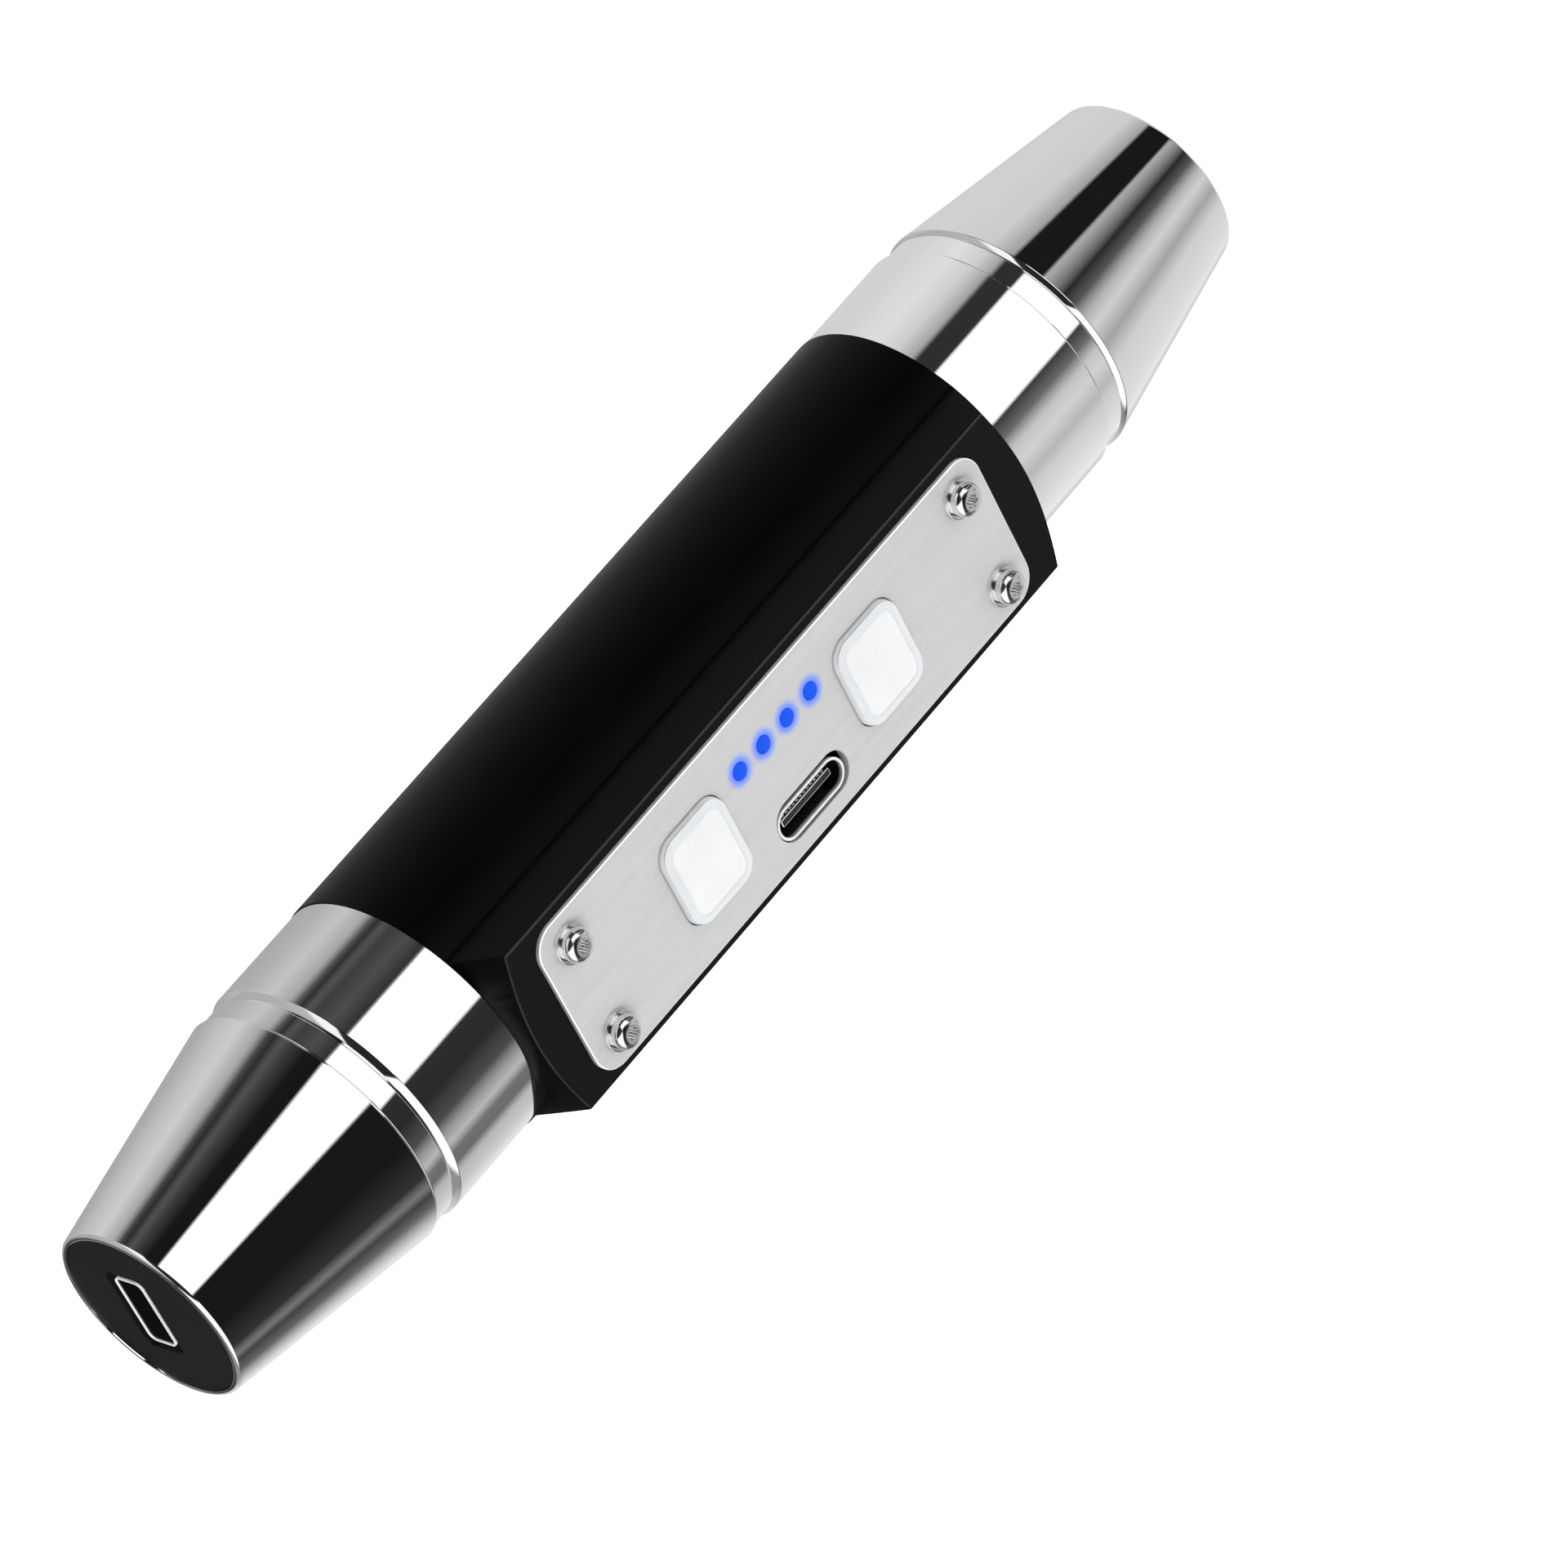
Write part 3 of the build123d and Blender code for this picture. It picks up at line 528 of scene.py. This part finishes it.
disc_seat = lamp_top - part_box("end_disc")[0].z
glass_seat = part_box("glass_seal")[1].z
top_skirt = [
    (cone_r, cone_end), (band_r - groove, cone_end), (band_r - groove, cone_end + groove),
    (band_r, cone_end + 2 * groove), (band_r, band_end),
]
bottom_skirt = [(cone_r, cone_end - bevel), (cone_r - bevel, cone_end)]
top_cavity, bottom_cavity = 19.3 * mm, 16.9 * mm
top_profile = [(r, lamp_top - s) for r, s in head_stations(disc_seat, top_skirt, top_cavity)]
bottom_profile = head_stations(glass_seat, bottom_skirt, bottom_cavity)
top_shell = soften(turn_piece("chrome_top_head", top_profile), 0.06 * mm)
bottom_shell = soften(turn_piece("chrome_bottom_head", bottom_profile), 0.06 * mm)
fit_piece(top_shell, "top_light", "polished_chrome", "top_head")
fit_piece(bottom_shell, "bottom_light", "polished_chrome", "bottom_head")
print("head seats in mm:", round(disc_seat / mm, 2), round(glass_seat / mm, 2))

# %% [markdown]
# ## The two collars
# A collar joins each head to the tube. Its ring is the chrome that shows, its outer spigot
# carries the head's thread and a groove for the seal, and its inner spigot sits in the tube.
# The thread is cut as ridges one millimetre apart. A true helix would show only with the
# head off, and the ridges look the same from the side.

# %% Turn the collars
collar_r, collar_start, body_start = 12.95 * mm, 24.1 * mm, 35.15 * mm
spigot_r, spigot_bore, pocket_r, inner_r = 10.6 * mm, 8.7 * mm, 10.3 * mm, 11.05 * mm
groove_r, groove_half, groove_inset = 9.4 * mm, 0.65 * mm, 1.05 * mm
thread_depth, collar_bevel = 0.35 * mm, 0.65 * mm


def collar_stations(face, ring):
    """The collar's closed profile as (radius, distance from the tip)."""
    start = face - 4.6 * mm
    ridges = []
    for turn in range(2):
        foot = start + (0.25 + turn) * mm
        ridges += [(spigot_r - thread_depth, foot), (spigot_r, foot + 0.5 * mm)]
    seal = face - groove_inset
    return [
        (spigot_bore, start), *ridges,
        (spigot_r, seal - groove_half), (groove_r, seal - groove_half),
        (groove_r, seal + groove_half), (spigot_r, seal + groove_half), (spigot_r, face),
        *ring, (collar_r, body_start), (inner_r, body_start), (inner_r, body_start + 5 * mm),
        (pocket_r, body_start + 5 * mm), (pocket_r, body_start - 2.15 * mm),
        (spigot_bore, body_start - 2.15 * mm),
    ]


top_ring = [(collar_r - collar_bevel, collar_start), (collar_r, collar_start + collar_bevel)]
bottom_face = 21.7 * mm
bottom_ring = [
    (band_r, bottom_face), (band_r, collar_start - 2 * groove),
    (band_r - groove, collar_start - groove), (band_r - groove, collar_start),
    (collar_r, collar_start),
]
top_turning = [(r, lamp_top - s) for r, s in collar_stations(collar_start, top_ring)]
bottom_turning = collar_stations(bottom_face, bottom_ring)
top_sleeve = soften(turn_piece("chrome_top_collar", top_turning), 0.05 * mm)
bottom_sleeve = soften(turn_piece("chrome_bottom_collar", bottom_turning), 0.05 * mm)
fit_piece(top_sleeve, "body", "polished_chrome", "top_collar")
fit_piece(bottom_sleeve, "body", "polished_chrome", "bottom_collar")
print("collar faces:", len(top_sleeve.data.polygons), len(bottom_sleeve.data.polygons))

# %% [markdown]
# ## Blue glow on the plate
# The four charge lights spill a soft blue ring on the metal round them. A real lamp behind
# each lens could throw it, but so small a light makes a noisy picture. The plate's
# tint is instead shifted to blue near each light, by the distance to the nearest one: the
# lights repeat along the plate, so one wrapped coordinate finds it.

# %% Tint the plate near the lights
light_x, light_pitch, light_count = 3.45 * mm, 3.3 * mm, 4
button_low, button_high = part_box("bottom_button")[0].z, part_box("top_button")[1].z
plate_mid = (button_low + button_high) / 2
plate_tree = finishes["plate_aluminium"].node_tree
plate_axes = object_axes(plate_tree)
along = add_math(plate_tree, "SUBTRACT", plate_axes["Z"], plate_mid)
shifted = add_math(plate_tree, "ADD", along, light_pitch / 2)
nearest = add_math(plate_tree, "WRAP", shifted, light_pitch / 2, -light_pitch / 2)
nearest = add_math(plate_tree, "ABSOLUTE", nearest)
past_end = add_math(plate_tree, "ABSOLUTE", along)
past_end = add_math(plate_tree, "SUBTRACT", past_end, light_pitch * (light_count - 1) / 2)
nearest = add_math(plate_tree, "MAXIMUM", nearest, past_end)
beside = add_math(plate_tree, "SUBTRACT", plate_axes["X"], light_x)
reach = add_math(plate_tree, "MULTIPLY", nearest, nearest)
reach = add_math(plate_tree, "MULTIPLY_ADD", beside, beside, reach)
reach = add_math(plate_tree, "SQRT", reach)
glow_share = add_range(plate_tree, reach, 0.75 * mm, 1.9 * mm, 0.95, 0, "SMOOTHERSTEP")
tint_over(plate_tree, glow_share, (0.12, 0.22, 0.80))
print("plate middle in mm:", round(plate_mid / mm, 2))

# %% [markdown]
# ## A port that darkens inwards
# The port's steel shell shows only as a bright rim, because hardly any light gets down
# inside it. The same ramp idea works here: the tint falls from bright steel at the mouth to
# nearly black a fraction of a millimetre further in.

# %% Darken the port
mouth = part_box("usb_shell")[0].y
port_tree = finishes["port_steel"].node_tree
port_depth = add_range(
    port_tree, object_axes(port_tree)["Y"], mouth + 0.02 * mm, mouth + 0.45 * mm)
tint_over(port_tree, port_depth, (0.006, 0.006, 0.007))
print("port mouth in mm:", round(mouth / mm, 2))

# %% [markdown]
# ## Press buttons
# Each button is a moulded cap with a soft pillow front, and a wider flange behind the plate
# that keeps it in. A subdivided cube would round it too much. A block whose four long
# edges are bevelled gives the outline, its front edge is rounded, the front is inset in
# steps that rise a little, and the back is extruded into the flange.

# %% Helpers for picking faces and edges
def pick(piece, choose_face=None, choose_edge=None):
    """Selects the faces or edges that a test accepts, in edit mode."""
    mesh = bmesh.from_edit_mesh(piece.data)
    bpy.ops.mesh.select_mode(type="FACE" if choose_face else "EDGE")
    bpy.ops.mesh.select_all(action="DESELECT")
    for element in mesh.faces if choose_face else mesh.edges:
        if (choose_face or choose_edge)(element):
            element.select_set(True)
    mesh.select_flush_mode()
    bmesh.update_edit_mesh(piece.data)


def add_block(name, low, high):
    """A box between two corners, with its place in its mesh."""
    deselect_all()
    bpy.ops.mesh.primitive_cube_add(size=1, location=(low + high) / 2)
    block = bpy.context.object
    block.name = name
    block.scale = high - low
    bpy.ops.object.transform_apply()
    return block


def faces_front(face):
    """True for the face that looks out of the control plate."""
    return face.normal.y < -0.99


print("pickers ready")

# %% Mould a button
cap_corner, cap_edge, flange = 2.0 * mm, 0.55 * mm, 0.8 * mm


def mould_button(name, node_name):
    """A pillow-fronted cap with a retaining flange, in the CAD button's box."""
    low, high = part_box(node_name)
    cap_low = Vector((low.x + flange, low.y, low.z + flange))
    cap_high = Vector((high.x - flange, low.y + 1.65 * mm, high.z - flange))
    cap = add_block(name, cap_low, cap_high)
    middle = (low + high) / 2
    bpy.ops.object.mode_set(mode="EDIT")
    pick(cap, choose_edge=lambda edge: abs(edge.verts[0].co.y - edge.verts[1].co.y) > mm)
    bpy.ops.mesh.bevel(offset=cap_corner, segments=10, affect="EDGES")
    pick(cap, choose_face=lambda face: face.normal.y > 0.99)
    wide = ((high.x - low.x) / (cap_high.x - cap_low.x), 1, (high.z - low.z) / (cap_high.z - cap_low.z))
    narrow = (1 / wide[0], 1, 1 / wide[2])
    for factors, depth in ((wide, 0.7 * mm), (narrow, 0.4 * mm)):
        bpy.ops.mesh.extrude_region_move(TRANSFORM_OT_translate={"value": (0, 0, 0)})
        bpy.ops.transform.resize(value=factors, center_override=middle)
        bpy.ops.mesh.extrude_region_move(TRANSFORM_OT_translate={"value": (0, depth, 0)})
    pick(cap, choose_face=faces_front)
    bpy.ops.mesh.region_to_loop()
    bpy.ops.mesh.bevel(offset=cap_edge, segments=6, affect="EDGES")
    pick(cap, choose_face=faces_front)
    for step, rise in ((0.5, 0.035), (0.8, 0.035), (0.9, 0.02)):
        bpy.ops.mesh.inset(thickness=step * mm, depth=rise * mm)
    bpy.ops.mesh.select_all(action="SELECT")
    bpy.ops.mesh.normals_make_consistent(inside=False)
    bpy.ops.object.mode_set(mode="OBJECT")
    bpy.ops.object.shade_smooth_by_angle(angle=radians(35))
    return cap


for end in ("top", "bottom"):
    cap = mould_button(f"{end}_press_cap", f"{end}_button")
    fit_piece(cap, f"{end}_key", "button_white", f"{end}_button")
    print(cap.name, [round(size / mm, 2) for size in cap.dimensions])

# %% [markdown]
# ## Charge-light lenses
# Each light is a little domed lens on the end of the light guide. A sphere would
# stand too proud, so a short round plug is raised in rings instead, like a watch glass.
# One lens is made, then copied along the row.

# %% Mould the lenses
def mould_lens(name, middle, radius, height):
    """A round plug with a domed front that looks out of the plate."""
    deselect_all()
    bpy.ops.mesh.primitive_cylinder_add(
        vertices=48, radius=radius, depth=height, location=middle, rotation=(radians(90), 0, 0))
    lens = bpy.context.object
    lens.name = name
    bpy.ops.object.transform_apply()
    bpy.ops.object.mode_set(mode="EDIT")
    pick(lens, choose_face=faces_front)
    for step, rise in ((0.12, 0.05), (0.16, 0.03), (0.2, 0.015)):
        bpy.ops.mesh.inset(thickness=step * mm, depth=rise * mm)
    bpy.ops.object.mode_set(mode="OBJECT")
    bpy.ops.object.shade_smooth_by_angle(angle=radians(50))
    return lens


guide_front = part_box("light_guide")[0].y
first_z = plate_mid - light_pitch * (light_count - 1) / 2
first_lens = mould_lens(
    "charge_lens_1", Vector((light_x, guide_front + 0.08 * mm, first_z)), 0.79 * mm, 0.2 * mm)
lenses = [first_lens]
for number in range(2, light_count + 1):
    deselect_all()
    lenses[-1].select_set(True)
    bpy.context.view_layer.objects.active = lenses[-1]
    bpy.ops.object.duplicate_move(TRANSFORM_OT_translate={"value": (0, 0, light_pitch)})
    bpy.ops.object.transform_apply()
    bpy.context.object.name = f"charge_lens_{number}"
    lenses.append(bpy.context.object)
for lens in lenses:
    fit_piece(lens, "body", "charge_light")
print("lenses:", [lens.name for lens in lenses])

# %% [markdown]
# ## Refined copies
# The black disc, its window frame, the front glass, the extruded body, the control plate
# and the port's tongue have the right shape already, but their edges are perfectly sharp,
# and a sharp edge never catches light. A copy of each mesh is merged, its flat faces are
# joined up, and a fine bevel breaks its edges. The CAD mesh itself is left as it is. The
# window frame also takes a lighter finish than the chrome and a faint white glow of its own, a
# painted highlight: it is so thin that a mirror there would show only the dark sky above it.

# %% Copy and refine
def refine_copy(name, node_name, width, body, slot):
    """A merged copy of a CAD mesh with fine broken edges, standing for its node."""
    copy = bpy.data.objects.new(name, nodes[node_name].data.copy())
    bpy.context.scene.collection.objects.link(copy)
    deselect_all()
    copy.select_set(True)
    bpy.context.view_layer.objects.active = copy
    bpy.ops.mesh.customdata_custom_splitnormals_clear()
    bpy.ops.object.mode_set(mode="EDIT")
    bpy.ops.mesh.select_all(action="SELECT")
    bpy.ops.mesh.remove_doubles(threshold=0.000001)
    bpy.ops.mesh.dissolve_limited(angle_limit=radians(0.6))
    bpy.ops.object.mode_set(mode="OBJECT")
    soften(copy, width, 2, 40)
    return fit_piece(copy, body, slot, node_name)


refined = [
    refine_copy("black_end_disc", "end_disc", 0.04 * mm, "top_light", "disc_black"),
    refine_copy("bright_window_frame", "window_frame", 0.03 * mm, "top_light", slot_of["window_frame"]),
    refine_copy("emitter_end_glass", "front_glass", 0.12 * mm, "bottom_light", "clear_glass"),
    refine_copy("anodised_body_tube", "body_tube", 0.12 * mm, "body", "black_anodised"),
    refine_copy("port_tongue", "usb_tongue", 0.07 * mm, "body", "port_plastic"),
    refine_copy("brushed_control_plate", "control_plate", 0.1 * mm, "body", "plate_aluminium"),
]
# A light tint and a faint white emission on the frame: a painted highlight.
frame_painted_glow = make_finish(
    "frame_painted_glow", ((0.86, 0.86, 0.87), (0.95, 0.95, 0.95)), (0.20, 0.32),
    600, 6000, 0.0000006, sockets={
        "Metallic": 0.2, "Emission Color": (1, 1, 1, 1), "Emission Strength": 0.15})
refined[1].data.materials[0] = frame_painted_glow
for piece in refined:
    print(piece.name, len(piece.data.polygons), "faces")

# %% [markdown]
# ## Front edges a little brighter than their faces: painted highlights
# Painted highlights: the boss's flat is lifted a touch and its broken edge more, and the control
# plate, its openings and the port's tongue get a bright line on their bevels. Painting them on the
# mesh would need faces of their own. A ramp on the depth behind the front finds the broken edges
# instead.

# %% Brighten the front edges
def paint_edge_highlights(finish_name, node_name, reach, on_front, on_edge, tone):
    """Paints a highlight: shifts a finish towards a grey on a node's front and in a thin band just
    behind it.
    """
    tree = finishes[finish_name].node_tree
    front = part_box(node_name)[0].y
    behind = add_range(tree, object_axes(tree)["Y"], front, front + reach)
    share = add_ramp(tree, behind, [(0.03, on_front), (0.12, on_edge), (0.6, on_edge), (0.8, 0)])
    tint_over(tree, share, (tone, tone, tone))


# Painted highlights on the boss, the plate and the port's tongue, not wear.
paint_edge_highlights("black_anodised", "body_tube", 0.25 * mm, 0.007, 0.04, 0.62)
paint_edge_highlights("plate_aluminium", "control_plate", 0.16 * mm, 0, 0.9, 0.95)
paint_edge_highlights("port_plastic", "usb_tongue", 0.1 * mm, 0, 0.9, 0.95)
print("edges brightened: 3")

# %% [markdown]
# ## Emitter dies
# Under each clear dome sits a square light-emitting die. It is a small raised plate with
# a bevelled edge. The three at the bottom are switched on and glow magenta, and the pair
# behind the dark window are off. Each is modelled once and copied round its head.

# %% Set the dies
def make_die(name, middle, side, thickness):
    """A small square die with broken edges."""
    half = Vector((side / 2, side / 2, thickness / 2))
    die = add_block(name, middle - half, middle + half)
    soften(die, 0.05 * mm, 2)
    return die


lit_die = make_finish(
    "lit_die", ((0.5, 0.2, 0.6), (0.6, 0.3, 0.7)), (0.3, 0.4), 900, 9000, 0.000001,
    sockets={"Emission Color": (0.85, 0.16, 1.0, 1), "Emission Strength": 9.0})
dark_die = make_finish(
    "dark_die", ((0.10, 0.09, 0.12), (0.16, 0.15, 0.2)), (0.25, 0.35), 900, 9000, 0.000001)
dies = []
bottom_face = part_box("bottom_emitters")[0].z
top_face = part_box("top_emitters")[1].z
for number in range(3):
    angle = radians(90 + 120 * number)
    middle = Vector((2.25 * mm * cos(angle), 2.25 * mm * sin(angle), bottom_face - 0.05 * mm))
    die = make_die(f"bottom_die_{number + 1}", middle, 1.1 * mm, 0.12 * mm)
    fit_piece(die, "bottom_light", "uv_dome")
    die.data.materials[0] = lit_die
    dies.append(die)
pair_low, pair_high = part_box("top_emitters")
for number, side in enumerate((-1, 1)):
    middle = Vector((side * 1.85 * mm, (pair_low.y + pair_high.y) / 2, top_face + 0.05 * mm))
    die = make_die(f"top_die_{number + 1}", middle, 1.3 * mm, 0.12 * mm)
    fit_piece(die, "top_light", "uv_dome")
    die.data.materials[0] = dark_die
    dies.append(die)
print("dies:", len(dies))

# %% [markdown]
# ## Dark window and glowing cups
# The narrow window's glass is nearly black and glossy, a painted shade that stands for the
# deep recess behind it, where the pair of dies sits out of sight. At the other head the light
# fills the three silvered cups with deep blue, strongest at their throats. Lighting them by
# the dies alone would be too dim to see, so a ramp along the lamp's axis adds the glow.

# %% Shaded window glass and cup glow
# Nearly black window glass: painted shade for the recess behind the window.
window_shade_glass = make_finish(
    "window_shade_glass", ((0.001, 0.0006, 0.0016), (0.002, 0.0012, 0.003)), (0.04, 0.09),
    400, 5000, 0.0000004, sockets={"Specular IOR Level": 0.08})
nodes["window_glass"].data.materials[0] = window_shade_glass
cup_low, cup_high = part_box("cup_reflector")
cup_tree = finishes["reflector_silver"].node_tree
cup_shader = cup_tree.nodes["Principled BSDF"]
cup_depth = add_range(cup_tree, object_axes(cup_tree)["Z"], cup_low.z, cup_high.z)
cup_glow = add_ramp(cup_tree, cup_depth, [
    (0.0, (0, 0, 0)), (0.04, (0.01, 0.0, 0.16)), (0.6, (0.03, 0.0, 0.42)), (1.0, (0.12, 0.0, 0.70))])
cup_tree.links.new(cup_glow, cup_shader.inputs["Emission Color"])
cup_shader.inputs["Emission Strength"].default_value = 1.0
print("cups in mm:", round(cup_low.z / mm, 2), "to", round(cup_high.z / mm, 2))
